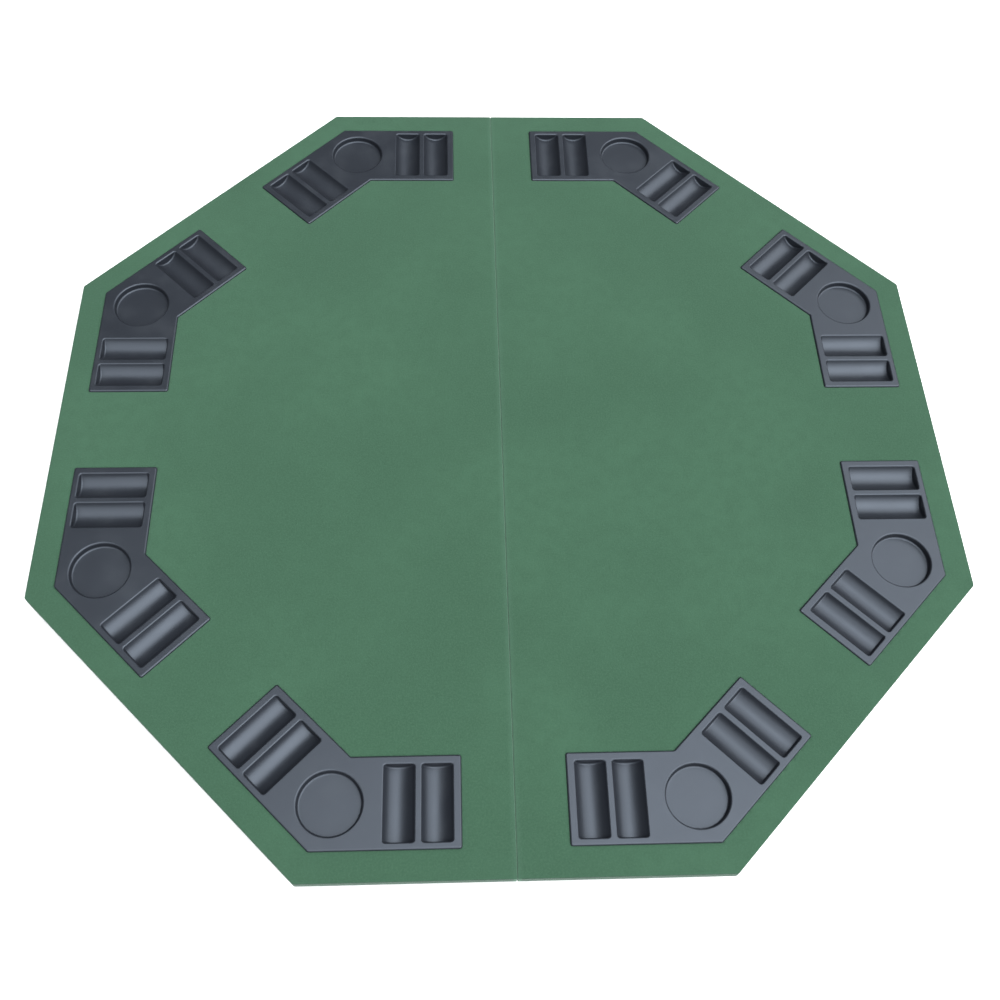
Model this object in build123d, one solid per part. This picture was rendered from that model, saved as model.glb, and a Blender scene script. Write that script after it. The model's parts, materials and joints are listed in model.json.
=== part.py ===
from build123d import *

import os
from math import cos, hypot, radians, sin, sqrt

# An octagonal card table top that folds in half: two felt-covered boards on three butt hinges, with a
# moulded tray let in at each of the eight corners. A tray is a chevron with a cup recess at its bend
# and two half-round chip channels in each arm.
# Millimetres, +Z up. The seam runs along Y at X = 0, and the origin is on the ground under its middle.

# ---- driving dimensions ----
ACROSS_FLATS = 1200.0  # over the felt
FOOT_HEIGHT = 8.0
BOARD_THICKNESS = 12.0
BOARD_EDGE_RADIUS = 1.0
BOARD_CORNER_RADIUS = 4.0  # in plan, at the octagon's corners
SEAM_CORNER_RADIUS = 2.0  # in plan, at the ends of the seam
FELT_THICKNESS = 1.2
FELT_HEM = 30.0  # turned under the board and stapled
SEAM_GAP = 0.4  # between the two felt faces when open

TRAY_INSET = 34.2  # table edge to the tray's outer edges
ARM_WIDTH = 108.0
ARM_LENGTH = 173.5  # from the tray's outer corner, along its outer edge
FLANGE_THICKNESS = 2.5
FLANGE_CORNER_RADIUS = 3.0
FLANGE_EDGE_RADIUS = 2.3
TRAY_WALL = 2.0
CUP_MOUTH_RADIUS = 2.5
CHANNEL_MOUTH_RADIUS = 2.2
FLOOR_RADIUS = 2.5  # rounding where a recess's floor meets its walls
SKIRT_INSET = 4.0
SKIRT_DEPTH = 8.0
LEAST_CORNER_RADIUS = 0.5  # of the outline wherever it is drawn in, as on the skirt's inside
CUTOUT_INSET = 3.7

CUP_RADIUS = 37.5
CUP_DEPTH = 9.0
CUP_CENTRE = 58.3  # from the tray's outer corner, towards the table's middle

CHANNEL_RADIUS = 20.0
CHANNEL_DEPTH = 12.0
CHANNEL_LENGTH = 89.0
CHANNEL_START = 8.6  # outer edge of the arm to the channel's end wall
CHANNEL_CENTRES = (101.4, 145.5)  # along the arm from the tray's outer corner

RIB_THICKNESS = 1.6
RIB_DEPTH = 7.0

HINGE_PLACES = (-400.0, 0.0, 400.0)  # along the seam
HINGE_LENGTH = 64.0
LEAF_WIDTH = 25.0
LEAF_THICKNESS = 1.5
LEAF_CORNER_RADIUS = 3.0
BARREL_RADIUS = 3.0
BARREL_DROP = 3.2  # underside of the boards down to the pin's axis
KNUCKLES = 5
KNUCKLE_GAP = 0.3
LEAF_START = 3.6  # from the pin's axis: clears the other leaf's knuckles
PIN_RADIUS = 1.5
PIN_RUNNING_CLEARANCE = 0.05
PIN_HEAD_RADIUS = 2.4
PIN_HEAD_THICKNESS = 1.0
NOTCH_CLEARANCE = 1.5  # hem trimmed back around each leaf

LEAF_SCREW_PLACES = ((17.5, -24.0), (11.0, 0.0), (17.5, 24.0))  # across from the pin, along it
LEAF_SCREW_RADIUS = 1.5
LEAF_SCREW_HEAD_RADIUS = 3.0
LEAF_SCREW_LENGTH = 11.0
SCREW_POINT_LENGTH = 2.0
SCREW_POINT_RADIUS = 0.3
DRIVE_SPAN = 0.65  # cross recess in each screw head, as a share of its width
DRIVE_WIDTH = 0.8
DRIVE_DEPTH = 0.8

FOOT_BASE_RADIUS = 12.0
FOOT_TIP_RADIUS = 10.5
FOOT_EDGE_RADIUS = 1.2
FOOT_POCKET_RADIUS = 4.6
FOOT_POCKET_DEPTH = 4.0
FOOT_SCREW_RADIUS = 1.6
FOOT_SCREW_HEAD_RADIUS = 3.6
FOOT_SCREW_HEAD_THICKNESS = 2.2
FOOT_SCREW_LENGTH = 13.5  # under the head
FOOT_EDGE_INSET = 55.0  # table edge to the outer feet
FOOT_STAGGER = 25.0  # so that folded halves don't stand foot on foot
SEAM_FEET = ((110.0, 400.0), (110.0, -345.0))
PILOT_CLEARANCE = 0.05
PILOT_DEPTH = 10.0

STAPLE_CROWN = 10.0
STAPLE_WIRE = (0.9, 0.6)  # width and thickness
STAPLE_LEG = 7.5
STAPLE_SPACING = 110.0
STAPLE_INSET = 16.0  # board edge to the row of staples
SEAM_STAPLE_PLACES = (80.0, 160.0, 240.0, 320.0, 480.0, 545.0)  # each side of the seam's middle

SAME = 0.01  # two lengths closer than this are the same

# ---- heights and outlines that follow from them ----
UNDERSIDE = FOOT_HEIGHT
BOARD_TOP = UNDERSIDE + BOARD_THICKNESS
FELT_TOP = BOARD_TOP + FELT_THICKNESS
FLANGE_TOP = FELT_TOP + FLANGE_THICKNESS
HEM_BOTTOM = UNDERSIDE - FELT_THICKNESS
PIN_HEIGHT = UNDERSIDE - BARREL_DROP

OCTAGON_TANGENT = sqrt(2) - 1  # half a side over the inradius
BEND_COS = cos(radians(67.5))  # an arm's outer edge against the tray's line of symmetry
BEND_SIN = sin(radians(67.5))
TRAY_CORNER = ACROSS_FLATS / 2 / BEND_SIN - TRAY_INSET / BEND_SIN  # from the table's middle
FELT_SEAM_X = SEAM_GAP / 2
BOARD_SEAM_X = FELT_SEAM_X + FELT_THICKNESS

TRAY_ANGLES = {f"tray_{k + 1}": 22.5 + 45 * k for k in range(8)}
RIGHT_TRAYS = ("tray_1", "tray_2", "tray_7", "tray_8")


def prism(points, bottom, top):
    """An upright solid between two heights, with straight sides through the points."""
    face = make_face(Polyline(*points, close=True))
    return Pos(0, 0, bottom) * extrude(face, top - bottom, dir=(0, 0, 1))


def upright_edges(solid):
    return solid.edges().filter_by(Axis.Z)


# ---- boards and felt, made for the right half; the left half is the right one turned about Z ----
def half_outline(across_flats, seam_x):
    """Corners of the right half of the octagon, cut off straight at seam_x."""
    reach = across_flats / 2
    side = reach * OCTAGON_TANGENT
    return [(seam_x, -reach), (side, -reach), (reach, -side), (reach, side), (side, reach), (seam_x, reach)]


def half_slab(bottom, top, grow):
    """The right half as a slab with rounded corners and top edges, grown outwards from the bare board."""
    bare = ACROSS_FLATS - 2 * FELT_THICKNESS
    slab = prism(half_outline(bare + 2 * grow, BOARD_SEAM_X - grow), bottom, top)
    corners = upright_edges(slab).sort_by(Axis.X)
    slab = fillet(corners[:2], SEAM_CORNER_RADIUS + grow)
    corners = upright_edges(slab).filter_by(lambda edge: edge.center().X > SEAM_CORNER_RADIUS * 4)
    slab = fillet(corners, BOARD_CORNER_RADIUS + grow)
    rim = slab.faces().sort_by(Axis.Z)[-1].outer_wire().edges()
    return fillet(rim, BOARD_EDGE_RADIUS + grow)


def foot_places():
    """Middles of the right half's feet: one near each outer edge's middle and two beside the seam."""
    reach = ACROSS_FLATS / 2 - FOOT_EDGE_INSET
    outer = []
    for angle in (0, 45, -45):
        facing = (cos(radians(angle)), sin(radians(angle)))
        x = reach * facing[0] - FOOT_STAGGER * facing[1]
        y = reach * facing[1] + FOOT_STAGGER * facing[0]
        outer.append((x, y))
    return outer + list(SEAM_FEET)


def leaf_screw_places():
    return [(across, hinge + along) for hinge in HINGE_PLACES for across, along in LEAF_SCREW_PLACES]


def tray_cutouts():
    cutter = chevron(CUTOUT_INSET, UNDERSIDE - BOARD_THICKNESS, FLANGE_TOP)
    return [turned(cutter, TRAY_ANGLES[name]) for name in RIGHT_TRAYS]


def right_board():
    board = half_slab(UNDERSIDE, BOARD_TOP, 0)
    for cutout in tray_cutouts():
        board -= cutout
    pilots = [(x, y, LEAF_SCREW_RADIUS) for x, y in leaf_screw_places()]
    pilots += [(x, y, FOOT_SCREW_RADIUS) for x, y in foot_places()]
    for x, y, screw_radius in pilots:
        hole = Cylinder(
            screw_radius + PILOT_CLEARANCE, PILOT_DEPTH, align=(Align.CENTER, Align.CENTER, Align.MIN)
        )
        board -= Pos(x, y, UNDERSIDE) * hole
    return board


def hem_opening():
    """The part of the underside that the turned-under felt leaves bare."""
    across = ACROSS_FLATS - 2 * FELT_THICKNESS - 2 * FELT_HEM
    return prism(half_outline(across, BOARD_SEAM_X + FELT_HEM), HEM_BOTTOM - 1, UNDERSIDE)


def hinge_notch(place):
    """The hem trimmed away under one hinge, over its whole width."""
    across = BOARD_SEAM_X + FELT_HEM + NOTCH_CLEARANCE
    along = HINGE_LENGTH + 2 * PIN_HEAD_THICKNESS + 2 * NOTCH_CLEARANCE
    box = Box(across, along, FELT_THICKNESS + 1, align=(Align.MIN, Align.CENTER, Align.MAX))
    return Pos(0, place, UNDERSIDE) * box


def right_felt():
    cover = half_slab(HEM_BOTTOM, FELT_TOP, FELT_THICKNESS)
    cover -= half_slab(UNDERSIDE, BOARD_TOP, 0)
    cover -= hem_opening()
    for cutout in tray_cutouts():
        cover -= cutout
    for place in HINGE_PLACES:
        cover -= hinge_notch(place)
    return cover


# ---- trays, made with the outer corner at the origin and the table's middle towards -X ----
def arm_point(along, across, side):
    """A place on an arm: along its outer edge from the corner, and across it towards the middle."""
    x = -along * BEND_COS - across * BEND_SIN
    y = side * (along * BEND_SIN - across * BEND_COS)
    return x, y


def turned(solid, angle):
    """A tray-shaped solid taken from its own frame to its corner of the table."""
    return Rot(0, 0, angle) * Pos(TRAY_CORNER, 0, 0) * solid


def chevron(inset, bottom, top):
    """The tray's outline, drawn in by inset all round, between two heights."""
    end = ARM_LENGTH - inset
    inner = ARM_WIDTH - inset
    corners = [(-inset / BEND_SIN, 0), arm_point(end, inset, 1), arm_point(end, inner, 1)]
    corners += [(-inner / BEND_SIN, 0), arm_point(end, inner, -1), arm_point(end, inset, -1)]
    outline = prism(corners, bottom, top)
    return fillet(upright_edges(outline), max(FLANGE_CORNER_RADIUS - inset, LEAST_CORNER_RADIUS))


def channel_shape(centre, side, grow):
    """The round of one chip channel, lying across the arm; grow thickens it into the channel's outside."""
    x, y = arm_point(centre, CHANNEL_START + CHANNEL_LENGTH / 2, side)
    across = (-BEND_SIN, -side * BEND_COS, 0)
    height = FLANGE_TOP - CHANNEL_DEPTH + CHANNEL_RADIUS
    return Plane(origin=(x, y, height), z_dir=across) * Cylinder(
        CHANNEL_RADIUS + grow, CHANNEL_LENGTH + 2 * grow
    )


def cup_shape(grow):
    depth = CUP_DEPTH + grow
    return Pos(-CUP_CENTRE, 0, FLANGE_TOP - depth) * Cylinder(
        CUP_RADIUS + grow, depth, align=(Align.CENTER, Align.CENTER, Align.MIN)
    )


def rib(start, end):
    """A stiffening rib under the flange, between two places."""
    run = hypot(end[0] - start[0], end[1] - start[1])
    middle = ((start[0] + end[0]) / 2, (start[1] + end[1]) / 2, FELT_TOP)
    direction = (end[0] - start[0], end[1] - start[1], 0)
    bar = Box(run, RIB_THICKNESS, RIB_DEPTH, align=(Align.CENTER, Align.CENTER, Align.MAX))
    return Plane(origin=middle, x_dir=direction, z_dir=(0, 0, 1)) * bar


def tray_ribs():
    cup = (-CUP_CENTRE, 0)
    skirt_outer = (-(SKIRT_INSET + TRAY_WALL / 2) / BEND_SIN, 0)
    skirt_inner = (-(ARM_WIDTH - SKIRT_INSET - TRAY_WALL / 2) / BEND_SIN, 0)
    ribs = [rib(cup, skirt_outer), rib(cup, skirt_inner)]
    for side in (1, -1):
        for across in (ARM_WIDTH / 3, ARM_WIDTH * 2 / 3):
            near = arm_point(CUP_RADIUS, across, side)
            far = arm_point(CHANNEL_CENTRES[0] - CHANNEL_RADIUS + TRAY_WALL / 2, across, side)
            ribs.append(rib(near, far))
    return ribs


def floor_edges(body):
    """The inside edges at the bottom of the cup and at the ends of the channels."""
    rounds = body.edges().filter_by(GeomType.CIRCLE)
    low = [edge for edge in rounds if edge.center().Z < FELT_TOP]
    cup = [edge for edge in low if abs(edge.radius - CUP_RADIUS) < SAME]
    ends = [edge for edge in rounds if abs(edge.radius - CHANNEL_RADIUS) < SAME]
    return cup + ends


def mouth_edges(body, round_ones):
    """The edges where the cup, or else the channels, open through the tray's top."""
    top = body.faces().filter_by(Axis.Z).sort_by(Axis.Z)[-1]
    mouths = [edge for wire in top.inner_wires() for edge in wire.edges()]
    return [edge for edge in mouths if (edge.geom_type == GeomType.CIRCLE) == round_ones]


def tray():
    body = chevron(0, FELT_TOP, FLANGE_TOP)
    skirt_bottom = FELT_TOP - SKIRT_DEPTH
    body += chevron(SKIRT_INSET, skirt_bottom, FELT_TOP)
    body -= chevron(SKIRT_INSET + TRAY_WALL, skirt_bottom, FELT_TOP)
    below_flange = Pos(-ARM_WIDTH, 0, FELT_TOP) * Box(
        4 * ARM_WIDTH, 4 * ARM_WIDTH, 4 * CHANNEL_RADIUS, align=(Align.CENTER, Align.CENTER, Align.MAX)
    )
    channels = [(centre, side) for centre in CHANNEL_CENTRES for side in (1, -1)]
    for centre, side in channels:
        body += channel_shape(centre, side, TRAY_WALL) & below_flange
    body += cup_shape(TRAY_WALL)
    for bar in tray_ribs():
        body += bar
    for centre, side in channels:
        body -= channel_shape(centre, side, 0)
    body -= cup_shape(0)
    body = fillet(floor_edges(body), FLOOR_RADIUS)
    top = body.faces().filter_by(Axis.Z).sort_by(Axis.Z)[-1]
    body = fillet(top.outer_wire().edges(), FLANGE_EDGE_RADIUS)
    body = fillet(mouth_edges(body, True), CUP_MOUTH_RADIUS)
    return fillet(mouth_edges(body, False), CHANNEL_MOUTH_RADIUS)


# ---- hinges, screws, feet and staples, made for the right half ----
def knuckle_places(own):
    """Middles of a leaf's own knuckles along the pin: the odd ones are the left leaf's."""
    pitch = HINGE_LENGTH / KNUCKLES
    first = -(HINGE_LENGTH - pitch) / 2
    return [first + k * pitch for k in range(KNUCKLES) if k % 2 == own]


def hinge_leaf(place, own, bore_radius):
    """A leaf on the right half: its plate, its knuckles about the pin's axis and its countersunk holes."""
    plate = Pos(LEAF_START, 0, UNDERSIDE) * Box(
        LEAF_WIDTH, HINGE_LENGTH, LEAF_THICKNESS, align=(Align.MIN, Align.CENTER, Align.MAX)
    )
    leaf = fillet(upright_edges(plate).sort_by(Axis.X)[-2:], LEAF_CORNER_RADIUS)
    knuckle_length = HINGE_LENGTH / KNUCKLES - KNUCKLE_GAP
    for y in knuckle_places(own):
        leaf += Pos(0, y, UNDERSIDE) * Box(
            LEAF_START + 1, knuckle_length, LEAF_THICKNESS, align=(Align.MIN, Align.CENTER, Align.MAX)
        )
        leaf += Pos(0, y, PIN_HEIGHT) * Rot(90, 0, 0) * Cylinder(BARREL_RADIUS, knuckle_length)
    leaf -= Pos(0, 0, PIN_HEIGHT) * Rot(90, 0, 0) * Cylinder(bore_radius, 2 * HINGE_LENGTH)
    for across, along in LEAF_SCREW_PLACES:
        leaf -= Pos(across, along, UNDERSIDE - LEAF_THICKNESS) * leaf_countersink()
    return Pos(0, place, 0) * leaf


def leaf_countersink():
    """The tapered hole through a leaf, its wide end down."""
    shank = LEAF_SCREW_RADIUS + PILOT_CLEARANCE
    return Cone(LEAF_SCREW_HEAD_RADIUS, shank, LEAF_THICKNESS, align=(Align.CENTER, Align.CENTER, Align.MIN))


def drive_cross(head_radius):
    """The cross recess of a screw head whose face is at Z = 0, cut upwards."""
    span = DRIVE_SPAN * 2 * head_radius
    arm = Box(span, DRIVE_WIDTH, DRIVE_DEPTH, align=(Align.CENTER, Align.CENTER, Align.MIN))
    return arm + Rot(0, 0, 90) * arm


def pointed_shank(radius, length):
    """A screw's shank pointing up from Z = 0."""
    straight = length - SCREW_POINT_LENGTH
    upwards = (Align.CENTER, Align.CENTER, Align.MIN)
    shank = Cylinder(radius, straight, align=upwards)
    return shank + Pos(0, 0, straight) * Cone(radius, SCREW_POINT_RADIUS, SCREW_POINT_LENGTH, align=upwards)


def leaf_screw():
    """A countersunk wood screw pointing up, its head's face at Z = 0."""
    shank = pointed_shank(LEAF_SCREW_RADIUS, LEAF_SCREW_LENGTH)
    return leaf_countersink() + shank - drive_cross(LEAF_SCREW_HEAD_RADIUS)


def hinge_pin(place):
    """A plain pin along the seam with a thin head at each end."""
    pin = Cylinder(PIN_RADIUS, HINGE_LENGTH)
    for end in (1, -1):
        offset = end * (HINGE_LENGTH + PIN_HEAD_THICKNESS) / 2
        pin += Pos(0, 0, offset) * Cylinder(PIN_HEAD_RADIUS, PIN_HEAD_THICKNESS)
    return Pos(0, place, PIN_HEIGHT) * Rot(90, 0, 0) * pin


def foot():
    """A round rubber foot hanging down from Z = 0, with a pocket for its screw."""
    body = Cone(FOOT_TIP_RADIUS, FOOT_BASE_RADIUS, FOOT_HEIGHT, align=(Align.CENTER, Align.CENTER, Align.MAX))
    tip = body.faces().sort_by(Axis.Z)[0].edges()
    body = fillet(tip, FOOT_EDGE_RADIUS)
    pocket = Cylinder(FOOT_POCKET_RADIUS, FOOT_POCKET_DEPTH, align=(Align.CENTER, Align.CENTER, Align.MIN))
    body -= Pos(0, 0, -FOOT_HEIGHT) * pocket
    return body - Cylinder(FOOT_SCREW_RADIUS + PILOT_CLEARANCE, 2 * FOOT_HEIGHT)


def foot_screw():
    """A pan-head screw pointing up, seated in a foot's pocket."""
    seat = -FOOT_HEIGHT + FOOT_POCKET_DEPTH
    head = Cylinder(
        FOOT_SCREW_HEAD_RADIUS, FOOT_SCREW_HEAD_THICKNESS, align=(Align.CENTER, Align.CENTER, Align.MAX)
    )
    face = head.faces().sort_by(Axis.Z)[0].edges()
    head = fillet(face, FOOT_SCREW_HEAD_THICKNESS / 2)
    head -= Pos(0, 0, -FOOT_SCREW_HEAD_THICKNESS) * drive_cross(FOOT_SCREW_HEAD_RADIUS)
    return Pos(0, 0, seat) * (head + pointed_shank(FOOT_SCREW_RADIUS, FOOT_SCREW_LENGTH))


def staple():
    """A staple driven up through the hem, its crown along X under Z = 0."""
    width, thickness = STAPLE_WIRE
    bridge = Box(STAPLE_CROWN, width, thickness, align=(Align.CENTER, Align.CENTER, Align.MAX))
    leg = Box(thickness, width, STAPLE_LEG, align=(Align.CENTER, Align.CENTER, Align.MIN))
    offset = (STAPLE_CROWN - thickness) / 2
    return bridge + Pos(offset, 0, 0) * leg + Pos(-offset, 0, 0) * leg


def staple_places():
    """Place and direction of each staple: a spaced row inside every outer edge, and pairs along the seam."""
    row = half_outline(ACROSS_FLATS - 2 * FELT_THICKNESS - 2 * STAPLE_INSET, BOARD_SEAM_X + STAPLE_INSET)
    places = []
    for start, end in zip(row, row[1:]):
        dx, dy = end[0] - start[0], end[1] - start[1]
        count = round(hypot(dx, dy) / STAPLE_SPACING)
        for k in range(count):
            share = (k + 0.5) / count
            places.append((start[0] + share * dx, start[1] + share * dy, (dx, dy)))
    for y in SEAM_STAPLE_PLACES:
        places += [(row[0][0], y, (0, 1)), (row[0][0], -y, (0, 1))]
    return places


def group(solids):
    return Compound(children=list(solids))


def right_feet():
    return group(Pos(x, y, UNDERSIDE) * foot() for x, y in foot_places())


def right_foot_screws():
    return group(Pos(x, y, UNDERSIDE) * foot_screw() for x, y in foot_places())


def right_hinge_screws():
    face = UNDERSIDE - LEAF_THICKNESS
    return group(Pos(x, y, face) * leaf_screw() for x, y in leaf_screw_places())


def right_staples():
    crown = staple()
    return group(
        Plane(origin=(x, y, HEM_BOTTOM), x_dir=(*way, 0), z_dir=(0, 0, 1)) * crown
        for x, y, way in staple_places()
    )


def half_turn(shape):
    """The same piece on the left half. The two halves are one part, used twice."""
    return Rot(0, 0, 180) * shape


def nodes():
    """Every separate piece, by name."""
    pieces = {}
    for name, make in (
        ("board", right_board),
        ("felt", right_felt),
        ("feet", right_feet),
        ("foot_screws", right_foot_screws),
        ("hinge_screws", right_hinge_screws),
        ("staples", right_staples),
    ):
        shape = make()
        pieces[f"right_{name}"] = shape
        pieces[f"left_{name}"] = half_turn(shape)
    moulding = tray()
    for name, angle in TRAY_ANGLES.items():
        pieces[name] = turned(moulding, angle)
    for number, place in enumerate(HINGE_PLACES, 1):
        running = PIN_RADIUS + PIN_RUNNING_CLEARANCE
        pieces[f"hinge_{number}_right_leaf"] = hinge_leaf(place, 1, running)
        pieces[f"hinge_{number}_left_leaf"] = half_turn(hinge_leaf(-place, 0, PIN_RADIUS))
        pieces[f"hinge_{number}_pin"] = hinge_pin(place)
    return pieces


def main():
    os.makedirs("parts", exist_ok=True)
    for name, shape in nodes().items():
        shape.label = name
        export_step(shape, f"parts/{name}.step")


main()
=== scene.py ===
"""Looks of a folding octagonal card table top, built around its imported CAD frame.

Metres, +Z up. The seam runs along Y at X = 0, and the feet stand at Z = 0.
"""

import json
import math

import bmesh
import bpy
from mathutils import Matrix, Vector, noise
from mathutils.geometry import delaunay_2d_cdt


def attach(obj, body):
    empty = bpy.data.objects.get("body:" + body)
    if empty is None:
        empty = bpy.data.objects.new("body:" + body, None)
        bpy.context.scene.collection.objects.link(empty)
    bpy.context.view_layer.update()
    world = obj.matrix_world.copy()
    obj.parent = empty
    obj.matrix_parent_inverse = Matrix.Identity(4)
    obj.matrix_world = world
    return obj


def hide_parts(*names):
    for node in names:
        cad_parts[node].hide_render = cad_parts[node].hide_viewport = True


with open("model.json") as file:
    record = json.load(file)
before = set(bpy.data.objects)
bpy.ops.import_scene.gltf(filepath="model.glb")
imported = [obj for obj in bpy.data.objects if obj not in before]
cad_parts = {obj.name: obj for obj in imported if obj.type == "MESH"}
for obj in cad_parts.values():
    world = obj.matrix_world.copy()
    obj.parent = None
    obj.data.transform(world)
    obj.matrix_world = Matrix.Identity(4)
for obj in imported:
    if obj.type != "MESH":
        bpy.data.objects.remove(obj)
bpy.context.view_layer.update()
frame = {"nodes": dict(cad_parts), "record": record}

# ---- sizes that the felt shares with the CAD frame ----
ACROSS_FLATS = 1.2
SIDE_SHARE = math.sqrt(2) - 1  # half a side of the octagon over its inradius
FELT_TOP = 0.0212
HEM_BOTTOM = 0.0068
FELT_THICKNESS = 0.0012
FELT_SEAM_X = 0.00006
HEM_INSET = 0.0312  # outer face to the raw edge of the hem
OUTER_CORNER = 0.0052
SEAM_CORNER = 0.0016
TOP_ROUND = 0.0013
HINGE_PLACES = (-0.4, 0.0, 0.4)
NOTCH_LENGTH = 0.069  # of the hem cut away at each hinge

TRAY_ANGLES = {"tray_1": 22.5, "tray_2": 67.5, "tray_7": -67.5, "tray_8": -22.5}
TRAY_INSET = 0.0342
ARM_WIDTH = 0.108
ARM_LENGTH = 0.1735
CUTOUT_INSET = 0.0037
CUTOUT_CORNER = 0.0005
BEND_COS = math.cos(math.radians(67.5))
BEND_SIN = math.sin(math.radians(67.5))
TRAY_CORNER = (ACROSS_FLATS / 2 - TRAY_INSET) / BEND_SIN

# ---- how the felt is made ----
BOTTOM_BEND = 0.0014
LEAST_CORNER = 0.0003
ROUND_STEPS = 7
WALL_STEPS = 3
BEND_STEPS = 4
HEM_STEPS = 9
CORNER_STEPS = 7
CUTOUT_STEPS = 3
STEP = 0.006  # between the felt's vertices
FINE_STEP = 0.0025  # near the corners
FINE_REACH = 0.03
GIVE = 0.06  # how far from a corner a drawn-in outline is rescaled
PILLOW = 0.00035  # how far the felt stands up between the trays that press it down
PILLOW_REACH = 0.012
PRESSED_REACH = 0.0005  # how far beside a tray the felt is still fully pressed down
WAVE = 0.00016
WAVE_SCALE = 11
RIPPLE_SCALE = 31
RIPPLE_SHARE = 0.5
HEM_WAVE = 0.00012
HEM_WAVE_SCALE = 45
RAW_EDGE_WAVE = 0.0012
RAW_EDGE_SCALE = 60
PLEAT = 0.0010
PLEAT_WIDTH = 0.011
PLEAT_RISE = 0.002  # width of a pleat's steep side
INSIDE_ONLY = 1  # the triangulation leaves out what lies outside the outline
NEARNESS = 1e-7  # at which the triangulation takes two points for one
SAME_PLACE = 0.00002  # vertices nearer than this are joined
SEEDS = {"right": 0.0, "left": 40.0}

# ---- floor, light and camera ----
FLOOR_REACH = 8.0
FLOOR_HEIGHT = -0.027  # clear of the folded half, which turns below the height that the feet stand at
LIGHT_DISTANCE = 20.0
LIGHT_COLOUR = (0.97, 0.985, 1.0)
KEY_LIGHT = {"towards": (0.069, -0.495, 0.866), "half_angle": 45.0, "radiance": 3.0}
SIDE_LIGHT = {"towards": (0.539, -0.008, 0.842), "half_angle": 40.6, "radiance": 3.54}
CAMERA_PLACE = (-0.0691, -0.8621, 1.3388)
CAMERA_LENS = 41.39  # millimetres, as the sensor's width is
SENSOR_WIDTH = 36.0
CAMERA_AZIMUTH = 4.881
CAMERA_ELEVATION = 60.383  # downwards
CAMERA_ROLL = 3.662
SHARP_ANGLE = 32  # CAD edges that turn more than this stay crisp
CAD_SAME_PLACE = 0.000002


# ---- small helpers for building node materials ----
def wire(tree, kind, inputs=None, **settings):
    """A new node, with its settings and its inputs given as numbers, colours or other nodes' sockets."""
    made = tree.nodes.new(kind)
    for name, value in settings.items():
        setattr(made, name, value)
    for name, value in (inputs or {}).items():
        socket = made.inputs[name]
        if isinstance(value, bpy.types.NodeSocket):
            tree.links.new(value, socket)
        else:
            socket.default_value = value
    return made


def new_material(name):
    """A material with a Principled shader, and the coordinates that its textures use, in metres."""
    material = bpy.data.materials.new(name)
    material.use_nodes = True
    tree = material.node_tree
    shader = tree.nodes["Principled BSDF"]
    place = wire(tree, "ShaderNodeTexCoord").outputs["Object"]
    return material, tree, shader, place


def noise_of(tree, place, scale, detail=3.0, roughness=0.5, distortion=0.0):
    inputs = {"Vector": place, "Scale": scale, "Detail": detail, "Roughness": roughness}
    inputs["Distortion"] = distortion
    return wire(tree, "ShaderNodeTexNoise", inputs).outputs[0]


def stretched(tree, place, scale, turn=0.0):
    """The coordinates turned about Z and scaled, for streaks and fibres."""
    inputs = {"Vector": place, "Scale": scale, "Rotation": (0.0, 0.0, turn)}
    return wire(tree, "ShaderNodeMapping", inputs).outputs[0]


def spread(tree, value, low, high, to_low=0.0, to_high=1.0):
    """A value's range from low to high taken smoothly to another range."""
    inputs = {"Value": value, "From Min": low, "From Max": high, "To Min": to_low, "To Max": to_high}
    return wire(tree, "ShaderNodeMapRange", inputs, interpolation_type="SMOOTHSTEP").outputs[0]


def calc(tree, operation, first, second):
    return wire(tree, "ShaderNodeMath", {0: first, 1: second}, operation=operation).outputs[0]


def blend_colour(tree, share, first, second):
    inputs = {0: share, 6: first, 7: second}
    return wire(tree, "ShaderNodeMix", inputs, data_type="RGBA").outputs[2]


def bump(tree, height, distance, strength=1.0, below=None):
    inputs = {"Height": height, "Distance": distance, "Strength": strength}
    if below is not None:
        inputs["Normal"] = below
    return wire(tree, "ShaderNodeBump", inputs).outputs[0]


def connect(tree, shader, **sockets):
    """Links sockets into the shader, with underscores for the spaces in its input names."""
    for name, socket in sockets.items():
        tree.links.new(socket, shader.inputs[name.replace("_", " ")])


def rgb(red, green, blue):
    return (red, green, blue, 1.0)


def facing_up(tree):
    """How far the true surface faces up: 1 on top, 0 on a wall and -1 underneath."""
    normal = wire(tree, "ShaderNodeNewGeometry").outputs["True Normal"]
    return wire(tree, "ShaderNodeSeparateXYZ", {0: normal}).outputs[2]


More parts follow.
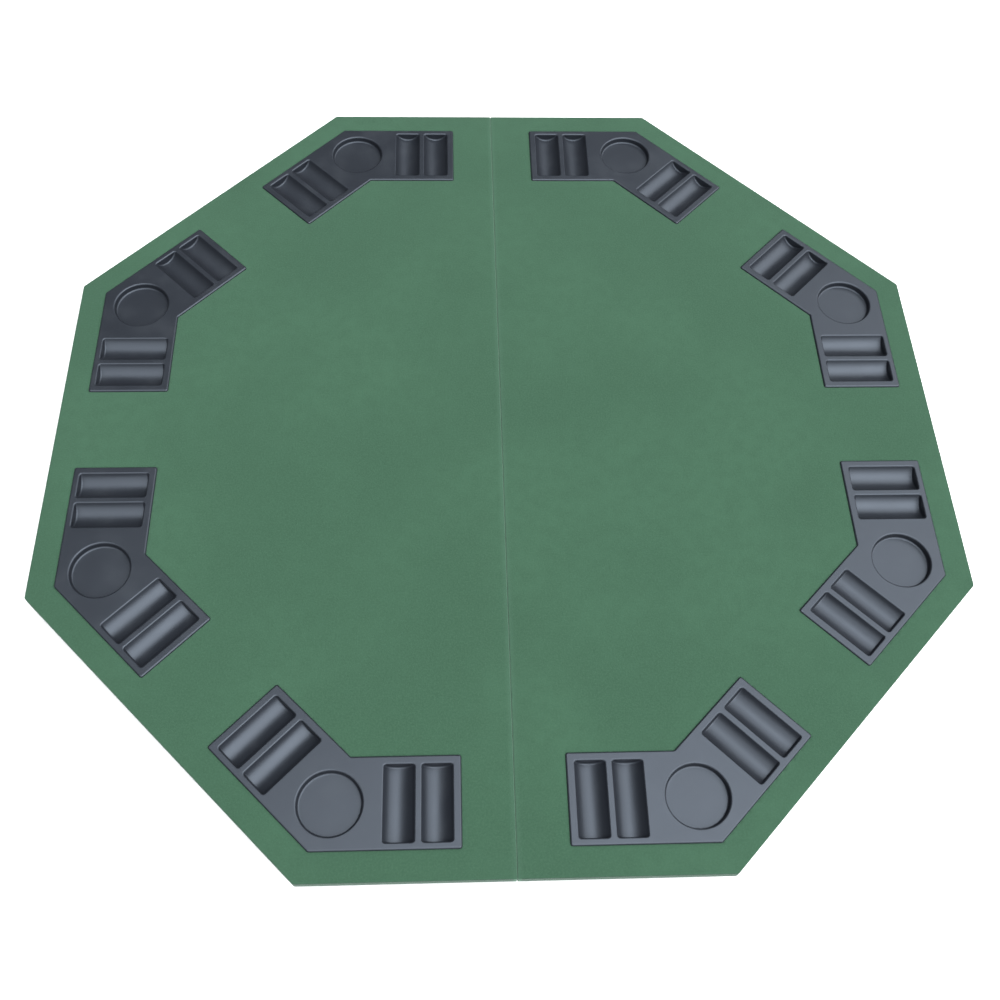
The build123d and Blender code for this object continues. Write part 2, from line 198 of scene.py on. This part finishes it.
# ---- materials ----
def felt_material():
    """Short green felt: mottled nap and loose fibres, with a painted highlight along the seam and painted
    shade on the upright walls round the edge.
    """
    material, tree, shader, place = new_material("green_felt")
    shader.inputs["Roughness"].default_value = 0.95
    shader.inputs["Specular IOR Level"].default_value = 0.12
    shader.inputs["Sheen Weight"].default_value = 0.22
    shader.inputs["Sheen Roughness"].default_value = 0.45
    shader.inputs["Sheen Tint"].default_value = rgb(0.70, 0.95, 0.80)

    patches = noise_of(tree, place, 4.5, 2.0)
    colour = blend_colour(
        tree, spread(tree, patches, 0.35, 0.65), rgb(0.0257, 0.0622, 0.0376), rgb(0.0304, 0.0724, 0.0438)
    )
    mottle = noise_of(tree, place, 60.0, 4.0, 0.6)
    colour = blend_colour(
        tree, spread(tree, mottle, 0.3, 0.7, 0.0, 0.5), colour, rgb(0.0242, 0.0581, 0.0348)
    )
    nap = noise_of(tree, place, 420.0, 3.0, 0.7)
    colour = blend_colour(
        tree, spread(tree, nap, 0.35, 0.75, 0.0, 0.55), colour, rgb(0.0390, 0.0855, 0.0537)
    )
    across = wire(tree, "ShaderNodeSeparateXYZ", {0: place}).outputs[0]
    off_seam = wire(tree, "ShaderNodeMath", {0: across}, operation="ABSOLUTE").outputs[0]
    # Painted highlight: the felt is painted paler in a band beside the seam and more so in the groove
    # itself. This stands in for the light on the rolled edges and offsets the groove's shade.
    painted_seam_highlight = spread(tree, off_seam, 0.0015, 0.0080, 0.12, 0.0)
    painted_groove_light = spread(tree, off_seam, 0.0005, 0.0013, 0.34, 0.0)
    seam_painted_light = calc(tree, "ADD", painted_seam_highlight, painted_groove_light)
    colour = blend_colour(tree, seam_painted_light, colour, rgb(0.068, 0.126, 0.090))
    # Painted shade: the felt's upright walls round the outer edge, away from the seam, are painted darker by
    # how far they turn from facing up.
    up = wire(tree, "ShaderNodeMath", {0: facing_up(tree)}, operation="ABSOLUTE").outputs[0]
    upright = spread(tree, up, 0.25, 0.95, 0.85, 0.0)
    painted_edge_shade = calc(tree, "MULTIPLY", upright, spread(tree, off_seam, 0.003, 0.006))
    colour = blend_colour(tree, painted_edge_shade, colour, rgb(0.008, 0.018, 0.012))

    fibres = noise_of(tree, stretched(tree, place, (900.0, 300.0, 900.0), 0.5), 1.0, 2.0, 0.6, 1.5)
    crossing = noise_of(tree, stretched(tree, place, (300.0, 900.0, 900.0), 0.2), 1.0, 2.0, 0.6, 1.5)
    pile = calc(tree, "ADD", fibres, crossing)
    normal = bump(tree, pile, 0.00035, 0.6)
    normal = bump(tree, noise_of(tree, place, 1600.0, 2.0), 0.00012, 0.5, normal)
    connect(tree, shader, Base_Color=colour, Normal=normal)
    return material


def tray_material():
    """Satin black moulded plastic: fine grain, a slightly uneven surface, faint dust and scuffs."""
    material, tree, shader, place = new_material("tray_plastic")
    shader.inputs["IOR"].default_value = 1.56
    shader.inputs["Specular Tint"].default_value = rgb(0.74, 0.85, 1.0)

    cloud = noise_of(tree, place, 22.0, 4.0, 0.6)
    up = spread(tree, facing_up(tree), 0.6, 1.0)
    dust = calc(tree, "MULTIPLY", spread(tree, cloud, 0.45, 0.75, 0.0, 0.05), up)
    colour = blend_colour(tree, dust, rgb(0.0097, 0.0111, 0.0144), rgb(0.10, 0.11, 0.115))

    scuffs = noise_of(tree, stretched(tree, place, (60.0, 900.0, 60.0), 0.9), 1.0, 3.0, 0.7)
    rough = spread(tree, cloud, 0.3, 0.7, 0.39, 0.45)
    rough = calc(tree, "ADD", rough, spread(tree, scuffs, 0.62, 0.78, 0.0, 0.07))

    grain = noise_of(tree, place, 1500.0, 2.0, 0.5)
    swell = noise_of(tree, place, 16.0, 2.0, 0.4)
    normal = bump(tree, swell, 0.0006, 0.35)
    normal = bump(tree, grain, 0.00004, 0.5, normal)
    connect(tree, shader, Base_Color=colour, Roughness=rough, Normal=normal)
    return material


def board_material():
    """Fibreboard: painted black above and below, raw and brown where it is cut."""
    material, tree, shader, place = new_material("fibreboard")
    fleck = noise_of(tree, place, 500.0, 3.0, 0.7)
    cloud = noise_of(tree, place, 14.0, 4.0, 0.6)
    paint = blend_colour(
        tree, spread(tree, cloud, 0.3, 0.7), rgb(0.014, 0.014, 0.015), rgb(0.026, 0.026, 0.027)
    )
    scratches = noise_of(tree, stretched(tree, place, (12.0, 700.0, 12.0), 0.4), 1.0, 4.0, 0.7)
    paint = blend_colour(tree, spread(tree, scratches, 0.66, 0.74, 0.0, 0.35), paint, rgb(0.09, 0.085, 0.08))

    layers = noise_of(tree, stretched(tree, place, (90.0, 90.0, 1400.0)), 1.0, 3.0, 0.6)
    raw = blend_colour(tree, layers, rgb(0.23, 0.14, 0.075), rgb(0.40, 0.27, 0.16))
    raw = blend_colour(tree, spread(tree, fleck, 0.55, 0.8, 0.0, 0.6), raw, rgb(0.16, 0.09, 0.05))

    up = wire(tree, "ShaderNodeMath", {0: facing_up(tree)}, operation="ABSOLUTE").outputs[0]
    flat = spread(tree, up, 0.4, 0.6)
    colour = blend_colour(tree, flat, raw, paint)
    smoother = calc(tree, "MULTIPLY", flat, spread(tree, cloud, 0.3, 0.7, 0.28, 0.42))
    rough = calc(tree, "SUBTRACT", 0.9, smoother)
    normal = bump(tree, fleck, 0.00012, 0.5)
    connect(tree, shader, Base_Color=colour, Roughness=rough, Normal=normal)
    return material


def hinge_material():
    """Black semi-gloss paint over steel, with small chips of bare metal."""
    material, tree, shader, place = new_material("black_hinge")
    peel = noise_of(tree, place, 700.0, 2.0, 0.5)
    wear = noise_of(tree, place, 230.0, 5.0, 0.75)
    chip = spread(tree, wear, 0.66, 0.70)
    tone = noise_of(tree, place, 60.0, 3.0)
    paint = blend_colour(tree, tone, rgb(0.012, 0.012, 0.013), rgb(0.030, 0.030, 0.031))
    colour = blend_colour(tree, chip, paint, rgb(0.42, 0.41, 0.39))
    rough = spread(tree, tone, 0.3, 0.7, 0.28, 0.42)
    normal = bump(tree, peel, 0.00006, 0.4)
    normal = bump(tree, calc(tree, "SUBTRACT", 1.0, chip), 0.00005, 0.6, normal)
    connect(tree, shader, Base_Color=colour, Roughness=rough, Metallic=chip, Normal=normal)
    return material


def metal_material(name, bright, dull, low, high):
    """Plated steel with blotches, fine drawing marks and an uneven sheen."""
    material, tree, shader, place = new_material(name)
    shader.inputs["Metallic"].default_value = 1.0
    blotch = noise_of(tree, place, 350.0, 4.0, 0.65)
    marks = noise_of(tree, stretched(tree, place, (400.0, 4000.0, 400.0)), 1.0, 2.0, 0.6)
    colour = blend_colour(tree, spread(tree, blotch, 0.3, 0.7), bright, dull)
    rough = spread(tree, blotch, 0.3, 0.7, low, high)
    normal = bump(tree, marks, 0.00002, 0.6)
    connect(tree, shader, Base_Color=colour, Roughness=rough, Normal=normal)
    return material


def rubber_material():
    """Matt black rubber, dusty where it has stood."""
    material, tree, shader, place = new_material("foot_rubber")
    shader.inputs["Specular IOR Level"].default_value = 0.35
    fleck = noise_of(tree, place, 900.0, 3.0, 0.6)
    cloud = noise_of(tree, place, 110.0, 4.0, 0.6)
    dust = spread(tree, cloud, 0.48, 0.72, 0.0, 0.35)
    colour = blend_colour(tree, fleck, rgb(0.013, 0.013, 0.013), rgb(0.026, 0.026, 0.026))
    colour = blend_colour(tree, dust, colour, rgb(0.10, 0.095, 0.088))
    rough = spread(tree, cloud, 0.3, 0.7, 0.62, 0.85)
    connect(tree, shader, Base_Color=colour, Roughness=rough, Normal=bump(tree, fleck, 0.00008, 0.5))
    return material


# ---- felt ----
def smooth_step(value, low, high):
    share = min(1.0, max(0.0, (value - low) / (high - low)))
    return share * share * (3 - 2 * share)


def half_corners(inset):
    """Corners of the right half's outline, drawn in all round, anticlockwise from the seam's near end."""
    reach = ACROSS_FLATS / 2 - inset
    side = reach * SIDE_SHARE
    seam = FELT_SEAM_X + inset
    near = [(seam, -reach), (side, -reach), (reach, -side)]
    far = [(reach, side), (side, reach), (seam, reach)]
    return [Vector(point) for point in near + far]


def corner_radii(inset):
    radii = (SEAM_CORNER, OUTER_CORNER, OUTER_CORNER, OUTER_CORNER, OUTER_CORNER, SEAM_CORNER)
    return [max(radius - inset, LEAST_CORNER) for radius in radii]


def rounded_corner(before, corner, after, radius, steps):
    """Points along the arc that rounds one corner of an anticlockwise or clockwise polygon."""
    way_in = (corner - before).normalized()
    way_out = (after - corner).normalized()
    turn = way_in.angle_signed(way_out)  # positive is clockwise
    start = corner - way_in * radius * abs(math.tan(turn / 2))
    hand = -1.0 if turn > 0 else 1.0
    centre = start + Vector((-way_in.y, way_in.x)) * radius * hand
    arm = start - centre
    points = []
    for k in range(steps + 1):
        angle = -turn * k / steps
        cos, sin = math.cos(angle), math.sin(angle)
        points.append(centre + Vector((arm.x * cos - arm.y * sin, arm.x * sin + arm.y * cos)))
    return points


def spaced(breaks, step):
    """Places between breaks, evenly spaced in each span, without the first and the last break."""
    places = []
    for low, high in zip(breaks, breaks[1:]):
        count = max(1, round((high - low) / step))
        places += [low + (high - low) * k / count for k in range(count)]
    return places[1:]


def side_places(low, high, is_seam):
    """Where the felt's vertices lie along one straight side."""
    fine_low, fine_high = low + FINE_REACH, high - FINE_REACH
    breaks = [fine_low, fine_high]
    if is_seam:
        edges = [place + end * NOTCH_LENGTH / 2 for place in HINGE_PLACES for end in (-1, 1)]
        breaks = sorted(breaks + edges)
    middle = [fine_low] + spaced(breaks, STEP) + [fine_high]
    return spaced([low, fine_low], FINE_STEP) + middle + spaced([fine_high, high], FINE_STEP)


def rounded_corners(inset):
    corners = half_corners(inset)
    radii = corner_radii(inset)
    count = len(corners)
    return [
        rounded_corner(corners[k - 1], corners[k], corners[(k + 1) % count], radii[k], CORNER_STEPS)
        for k in range(count)
    ]


def ring(inset):
    """The outline drawn in by inset, with as many points at any inset, in line with each other."""
    nominal, arcs = rounded_corners(0.0), rounded_corners(inset)
    count = len(arcs)
    points = []
    for k in range(count):
        points += arcs[k]
        following = (k + 1) % count
        first, last = arcs[k][-1], arcs[following][0]
        way = (last - first).normalized()
        low, high = nominal[k][-1].dot(way), nominal[following][0].dot(way)
        start, end = first.dot(way), last.dot(way)
        for place in side_places(low, high, k == count - 1):
            if place < low + GIVE:
                place = start + (place - low) * (low + GIVE - start) / GIVE
            elif place > high - GIVE:
                place = end - (high - place) * (end - high + GIVE) / GIVE
            points.append(first + way * (place - start))
    return points


def edge_profile():
    """Inset and height of each ring, from the playing surface round the edge to the end of the hem."""
    quarter = math.pi / 2
    profile = []
    for k in range(ROUND_STEPS + 1):
        angle = quarter * k / ROUND_STEPS
        profile.append((TOP_ROUND * (1 - math.sin(angle)), FELT_TOP - TOP_ROUND * (1 - math.cos(angle))))
    upper, lower = FELT_TOP - TOP_ROUND, HEM_BOTTOM + BOTTOM_BEND
    profile += [(0.0, upper + (lower - upper) * k / WALL_STEPS) for k in range(1, WALL_STEPS)]
    for k in range(BEND_STEPS + 1):
        angle = quarter * k / BEND_STEPS
        height = HEM_BOTTOM + BOTTOM_BEND * (1 - math.sin(angle))
        profile.append((BOTTOM_BEND * (1 - math.cos(angle)), height))
    for k in range(1, HEM_STEPS + 1):
        profile.append((BOTTOM_BEND + (HEM_INSET - BOTTOM_BEND) * k / HEM_STEPS, HEM_BOTTOM))
    return profile


def on_arm(x, y, angle):
    """A place as seen from one tray: how far along the nearer arm it is, and how far across it."""
    turn = math.radians(angle)
    ahead = x * math.cos(turn) + y * math.sin(turn) - TRAY_CORNER
    aside = abs(y * math.cos(turn) - x * math.sin(turn))
    return -BEND_COS * ahead + BEND_SIN * aside, -BEND_SIN * ahead - BEND_COS * aside


def off_tray(x, y, inset=0.0):
    """Distance outside the nearest tray's outline, drawn in by inset. Negative inside it."""
    found = []
    for angle in TRAY_ANGLES.values():
        along, across = on_arm(x, y, angle)
        found.append(max(inset - across, across - ARM_WIDTH + inset, along - ARM_LENGTH + inset))
    return min(found)


def inside_edge(x, y):
    """Distance in from the half's nearest edge."""
    reach = ACROSS_FLATS / 2
    slant = (x + abs(y)) / math.sqrt(2)
    return min(reach - x, reach - abs(y), reach - slant, x - FELT_SEAM_X)


def cutout_loop(angle):
    """The outline of the felt's cut-out under one tray."""
    end, inner = ARM_LENGTH - CUTOUT_INSET, ARM_WIDTH - CUTOUT_INSET

    def arm_point(along, across, side):
        x = -along * BEND_COS - across * BEND_SIN
        return Vector((x, side * (along * BEND_SIN - across * BEND_COS)))

    outer_bend, inner_bend = Vector((-CUTOUT_INSET / BEND_SIN, 0)), Vector((-inner / BEND_SIN, 0))
    corners = [outer_bend, arm_point(end, CUTOUT_INSET, 1), arm_point(end, inner, 1)]
    corners += [inner_bend, arm_point(end, inner, -1), arm_point(end, CUTOUT_INSET, -1)]
    loop = []
    count = len(corners)
    arcs = [
        rounded_corner(corners[k - 1], corners[k], corners[(k + 1) % count], CUTOUT_CORNER, CUTOUT_STEPS)
        for k in range(count)
    ]
    for k in range(count):
        loop += arcs[k]
        first, last = arcs[k][-1], arcs[(k + 1) % count][0]
        run = (last - first).length
        loop += [first.lerp(last, place / run) for place in spaced([0.0, run], STEP)]
    turn = Matrix.Rotation(math.radians(angle), 2)
    return [turn @ (point + Vector((TRAY_CORNER, 0))) for point in loop]


def top_height(x, y, seed):
    """The felt's free surface: pressed down under and beside the trays, and slightly uneven between them."""
    free = smooth_step(off_tray(x, y), PRESSED_REACH, PILLOW_REACH)
    free *= smooth_step(inside_edge(x, y), TOP_ROUND, 3 * PILLOW_REACH)
    wave = noise.noise(Vector((x * WAVE_SCALE, y * WAVE_SCALE, seed)))
    wave += RIPPLE_SHARE * noise.noise(Vector((x * RIPPLE_SCALE, y * RIPPLE_SCALE, seed)))
    return FELT_TOP + free * (PILLOW + WAVE * wave)


def top_surface(outer):
    """Vertices and triangles of the playing surface inside its outermost ring, cut out under the trays."""
    places = list(outer)
    edges = [(k, (k + 1) % len(outer)) for k in range(len(outer))]
    for angle in TRAY_ANGLES.values():
        loop = cutout_loop(angle)
        first = len(places)
        edges += [(first + k, first + (k + 1) % len(loop)) for k in range(len(loop))]
        places += loop
    count = round(ACROSS_FLATS / STEP)
    for row in range(count + 1):
        for column in range(count // 2 + 1):
            x = (column + 0.5 * (row % 2)) * STEP
            y = -ACROSS_FLATS / 2 + row * STEP
            if inside_edge(x, y) > TOP_ROUND + STEP / 2 and off_tray(x, y, CUTOUT_INSET) > STEP / 2:
                places.append(Vector((x, y)))
    found, _, faces, *_ = delaunay_2d_cdt(places, edges, [], INSIDE_ONLY, NEARNESS)
    kept = []
    for face in faces:
        middle = sum((found[k] for k in face), Vector((0, 0))) / len(face)
        if off_tray(middle.x, middle.y, CUTOUT_INSET) > 0:
            kept.append(face)
    return found, kept


def pleat(x, y):
    """How far down a pleat in the hem stands at an octagon corner: steep on one side, soft on the other."""
    deepest = 0.0
    for corner in half_corners(0.0)[1:5]:
        inwards = -corner.normalized()
        offset = Vector((x, y)) - corner
        along = offset.dot(inwards)
        aside = offset.x * inwards.y - offset.y * inwards.x
        width = PLEAT_WIDTH * smooth_step(along, 0.0, HEM_INSET)
        if width > 0.001 and 0 < aside < width:
            rise = smooth_step(aside, 0, PLEAT_RISE)
            fall = 1 - smooth_step(aside, 0.6 * width, width)
            deepest = max(deepest, PLEAT * rise * fall)
    return deepest


def in_notch(x, y, z):
    near = any(abs(y - place) < NOTCH_LENGTH / 2 for place in HINGE_PLACES)
    return near and x < FELT_SEAM_X + HEM_INSET and z < HEM_BOTTOM + BOTTOM_BEND


def felt_half(name, seed):
    """One half's felt as a surface mesh, given its real thickness later by a modifier: top, rolled edge and
    stapled hem in one piece.
    """
    profile = edge_profile()
    rings = [ring(inset) for inset, _ in profile]
    per_ring = len(rings[0])
    vertices = []
    for number, ((inset, z), points) in enumerate(zip(profile, rings)):
        hem = smooth_step(inset, BOTTOM_BEND, HEM_INSET) if z < FELT_TOP / 2 else 0.0
        for point in points:
            x, y = point
            wave = noise.noise(Vector((x * HEM_WAVE_SCALE, y * HEM_WAVE_SCALE, seed + number * 0.15)))
            if hem > 0:
                raw = noise.noise(Vector((x * RAW_EDGE_SCALE, y * RAW_EDGE_SCALE, seed + 7)))
                middle = Vector((ACROSS_FLATS / 5, 0))
                x, y = point + (middle - point).normalized() * raw * RAW_EDGE_WAVE * hem
                vertices.append((x, y, z - HEM_WAVE * hem * (1 + wave) - pleat(x, y)))
            else:
                vertices.append((x, y, z))
    faces = []
    for number in range(len(rings) - 1):
        for k in range(per_ring):
            after = (k + 1) % per_ring
            quad = [
                number * per_ring + k,
                (number + 1) * per_ring + k,
                (number + 1) * per_ring + after,
                number * per_ring + after,
            ]
            middle = sum((Vector(vertices[v]) for v in quad), Vector()) / 4
            if not in_notch(*middle):
                faces.append(quad)
    found, triangles = top_surface(rings[0])
    first = len(vertices)
    vertices += [(p.x, p.y, top_height(p.x, p.y, seed)) for p in found]
    faces += [[first + k for k in triangle] for triangle in triangles]
    mesh = bpy.data.meshes.new(name)
    mesh.from_pydata(vertices, [], faces)
    mesh.validate()
    return mesh


def tidy_mesh(piece):
    """Joins the vertices that coincide, turns every face outwards and shades it smooth."""
    work = bmesh.new()
    work.from_mesh(piece.data)
    bmesh.ops.remove_doubles(work, verts=work.verts, dist=SAME_PLACE)
    loose = [vertex for vertex in work.verts if not vertex.link_faces]
    bmesh.ops.delete(work, geom=loose, context="VERTS")
    bmesh.ops.recalc_face_normals(work, faces=work.faces)
    highest = max(work.faces, key=lambda face: face.calc_center_median().z + face.calc_area())
    if highest.normal.z < 0:
        bmesh.ops.reverse_faces(work, faces=work.faces)
    for face in work.faces:
        face.smooth = True
    work.to_mesh(piece.data)
    work.free()


def make_felt(side, seed, material):
    """The felt of one half, which stands for that half's CAD felt."""
    piece = bpy.data.objects.new(f"felt_{side}", felt_half(f"felt_{side}", seed))
    bpy.context.scene.collection.objects.link(piece)
    if side == "left":
        piece.data.transform(Matrix.Rotation(math.pi, 4, "Z"))
    tidy_mesh(piece)
    piece.data.materials.append(material)
    solid = piece.modifiers.new("thickness", "SOLIDIFY")
    solid.thickness = FELT_THICKNESS
    solid.offset = -1.0
    solid.use_even_offset = True
    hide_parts(f"{side}_felt")
    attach(piece, f"{side}_half")


# ---- CAD nodes that are shown as they are ----
def finish_cad_nodes(materials):
    """Gives every CAD node its material and smooth shading between its sharp edges."""
    slots = {part["node"]: part["material_slot"] for part in frame["record"]["subparts"]}
    for name, node in frame["nodes"].items():
        slot = slots[name]
        node.data.materials.clear()
        node.data.materials.append(materials[slot])
        for polygon in node.data.polygons:
            polygon.use_smooth = True
        weld = node.modifiers.new("weld", "WELD")
        weld.merge_threshold = CAD_SAME_PLACE
        split = node.modifiers.new("sharp_edges", "EDGE_SPLIT")
        split.split_angle = math.radians(SHARP_ANGLE)
        weighted = node.modifiers.new("even_shading", "WEIGHTED_NORMAL")
        weighted.weight = 100


# ---- floor, light and camera ----
def make_floor():
    """A plain pale floor, lit brightly enough to look white except where the top shades it closely."""
    mesh = bpy.data.meshes.new("floor")
    signs = ((-1, -1), (1, -1), (1, 1), (-1, 1))
    corners = [(x * FLOOR_REACH, y * FLOOR_REACH, FLOOR_HEIGHT) for x, y in signs]
    mesh.from_pydata(corners, [], [(0, 1, 2, 3)])
    floor = bpy.data.objects.new("floor", mesh)
    bpy.context.scene.collection.objects.link(floor)
    material, tree, shader, place = new_material("floor_white")
    shader.inputs["Roughness"].default_value = 0.9
    shader.inputs["Specular IOR Level"].default_value = 0.1
    faint = noise_of(tree, place, 1.5, 2.0)
    connect(tree, shader, Base_Color=blend_colour(tree, faint, rgb(0.84, 0.84, 0.84), rgb(0.86, 0.86, 0.86)))
    mesh.materials.append(material)


def make_softbox(name, towards, half_angle, radiance):
    """A large round soft light far away in a direction, as wide as twice half_angle in degrees."""
    radius = LIGHT_DISTANCE * math.tan(math.radians(half_angle))
    light = bpy.data.lights.new(name, "AREA")
    light.shape = "DISK"
    light.size = 2 * radius
    light.energy = radiance * (math.pi * radius) ** 2
    light.color = LIGHT_COLOUR
    lamp = bpy.data.objects.new(name, light)
    direction = Vector(towards).normalized()
    lamp.location = direction * LIGHT_DISTANCE
    lamp.rotation_mode = "QUATERNION"
    lamp.rotation_quaternion = direction.to_track_quat("Z", "Y")
    lamp.visible_camera = False
    bpy.context.scene.collection.objects.link(lamp)


def make_world():
    """A dim studio that is darker towards the horizon, and plain white to the eye."""
    world = bpy.data.worlds.new("studio")
    world.use_nodes = True
    tree = world.node_tree
    tree.nodes.clear()
    direction = wire(tree, "ShaderNodeTexCoord").outputs["Generated"]
    height = wire(tree, "ShaderNodeSeparateXYZ", {0: direction}).outputs[2]
    glow = spread(tree, height, 0.1, 0.9, 0.06, 0.10)
    dim = wire(tree, "ShaderNodeBackground", {"Color": rgb(0.93, 0.97, 1.0), "Strength": glow})
    plain = wire(tree, "ShaderNodeBackground", {"Color": rgb(1.0, 1.0, 1.0), "Strength": 1.0})
    seen = wire(tree, "ShaderNodeLightPath").outputs["Is Camera Ray"]
    both = wire(tree, "ShaderNodeMixShader", {0: seen, 1: dim.outputs[0], 2: plain.outputs[0]})
    output = wire(tree, "ShaderNodeOutputWorld")
    tree.links.new(both.outputs[0], output.inputs[0])
    bpy.context.scene.world = world


def make_camera():
    camera = bpy.data.cameras.new("camera")
    camera.sensor_width = SENSOR_WIDTH
    camera.lens = CAMERA_LENS
    camera.clip_start = 0.01
    camera.clip_end = 100.0
    eye = bpy.data.objects.new("camera", camera)
    azimuth, elevation = math.radians(CAMERA_AZIMUTH), math.radians(CAMERA_ELEVATION)
    roll = math.radians(CAMERA_ROLL)
    level = math.cos(elevation)
    look = Vector((math.sin(azimuth) * level, math.cos(azimuth) * level, -math.sin(elevation)))
    turn = look.to_track_quat("-Z", "Y").to_matrix() @ Matrix.Rotation(roll, 3, "Z")
    eye.location = CAMERA_PLACE
    eye.rotation_euler = turn.to_euler()
    bpy.context.scene.collection.objects.link(eye)
    bpy.context.scene.camera = eye


def main():
    felt = felt_material()
    screw = metal_material("zinc_plate", rgb(0.60, 0.61, 0.60), rgb(0.44, 0.44, 0.42), 0.24, 0.42)
    staple = metal_material("galvanised", rgb(0.66, 0.67, 0.68), rgb(0.50, 0.50, 0.49), 0.30, 0.48)
    materials = {
        "felt": felt,
        "board": board_material(),
        "tray_plastic": tray_material(),
        "hinge_steel": hinge_material(),
        "screw_steel": screw,
        "staple_steel": staple,
        "foot_rubber": rubber_material(),
    }
    finish_cad_nodes(materials)
    for side, seed in SEEDS.items():
        make_felt(side, seed, felt)
    make_floor()
    make_softbox("key", **KEY_LIGHT)
    make_softbox("side", **SIDE_LIGHT)
    make_world()
    make_camera()
    bpy.context.scene.view_settings.view_transform = "Standard"


main()
